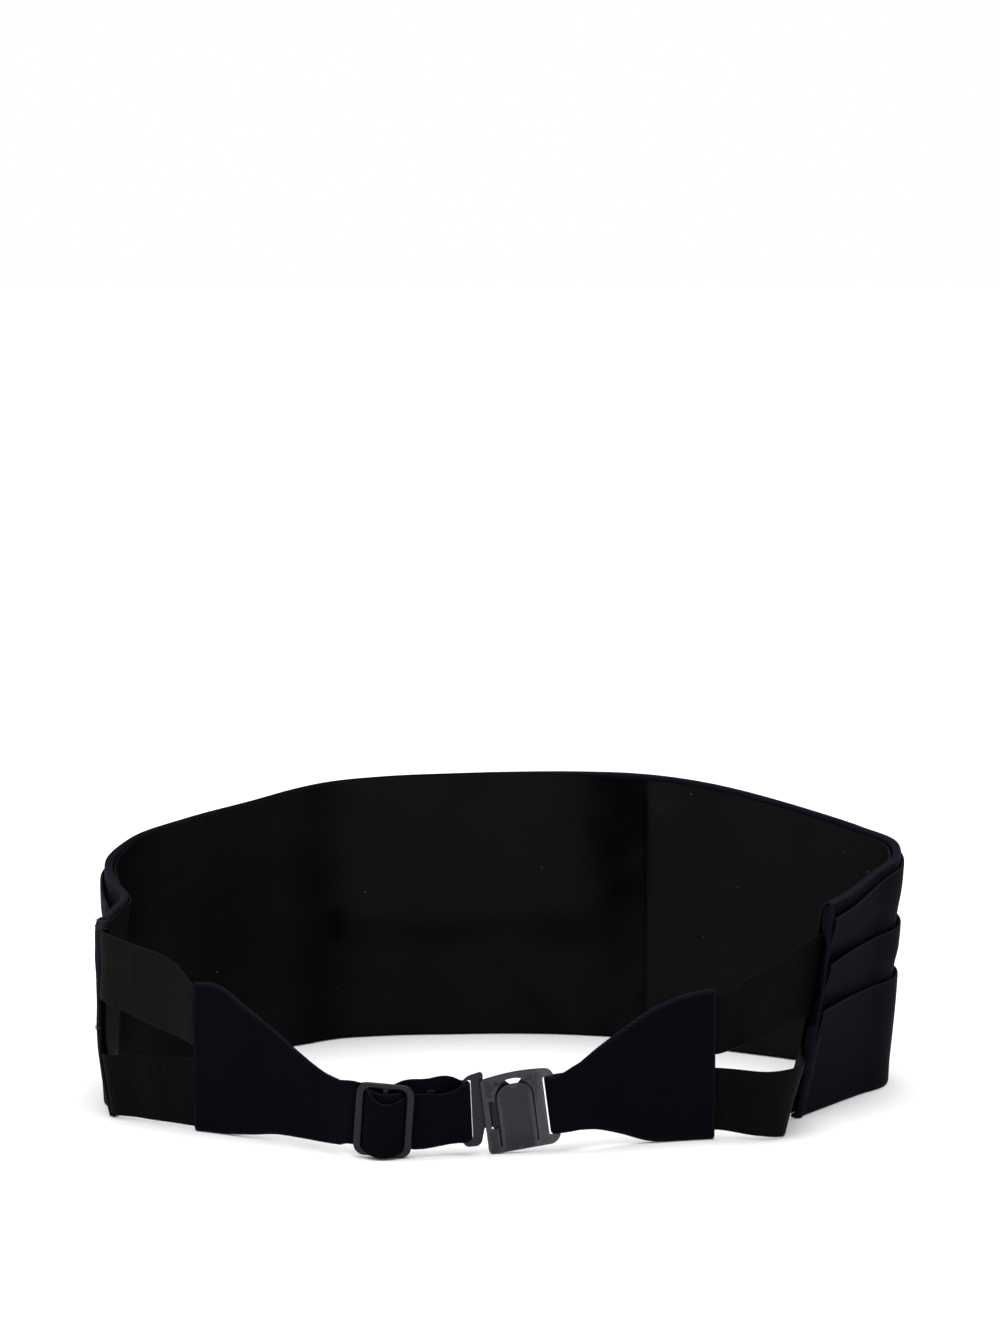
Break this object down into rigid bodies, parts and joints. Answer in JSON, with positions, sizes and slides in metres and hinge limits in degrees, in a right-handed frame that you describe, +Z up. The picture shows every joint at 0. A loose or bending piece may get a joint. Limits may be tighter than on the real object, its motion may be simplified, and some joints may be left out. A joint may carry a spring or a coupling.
{
  "type": "cummerbund",
  "caption": "Pleated dress cummerbund with a lined front panel, elastic sides and shaped back tabs, closed by a strap slider and a flat hook clasp.",
  "frame": {"origin": "middle of the bottom of the whole object's box, on the surface that its lower edge stands on", "axes": "+Y from the clasp towards the middle of the pleated front, +X towards the wearer's right, +Z up"},
  "size_m": [0.339, 0.21, 0.1213],
  "materials": {
    "navy_cloth": "fine ribbed dress cloth, very dark navy",
    "black_lining": "smooth black lining with a faint sheen",
    "black_elastic": "ribbed black elastic webbing",
    "grey_metal": "dark grey plated, satin"
  },
  "bodies": {
    "root": {"pleated_front": "navy_cloth", "lining": "black_lining", "elastic_left_upper": "black_elastic", "elastic_left_lower": "black_elastic", "elastic_right_upper": "black_elastic", "elastic_right_lower": "black_elastic", "tab_left": "navy_cloth", "tab_right": "navy_cloth", "slider": "grey_metal", "clasp_eye": "grey_metal", "clasp_hook": "grey_metal"}
  },
  "joints": []
}
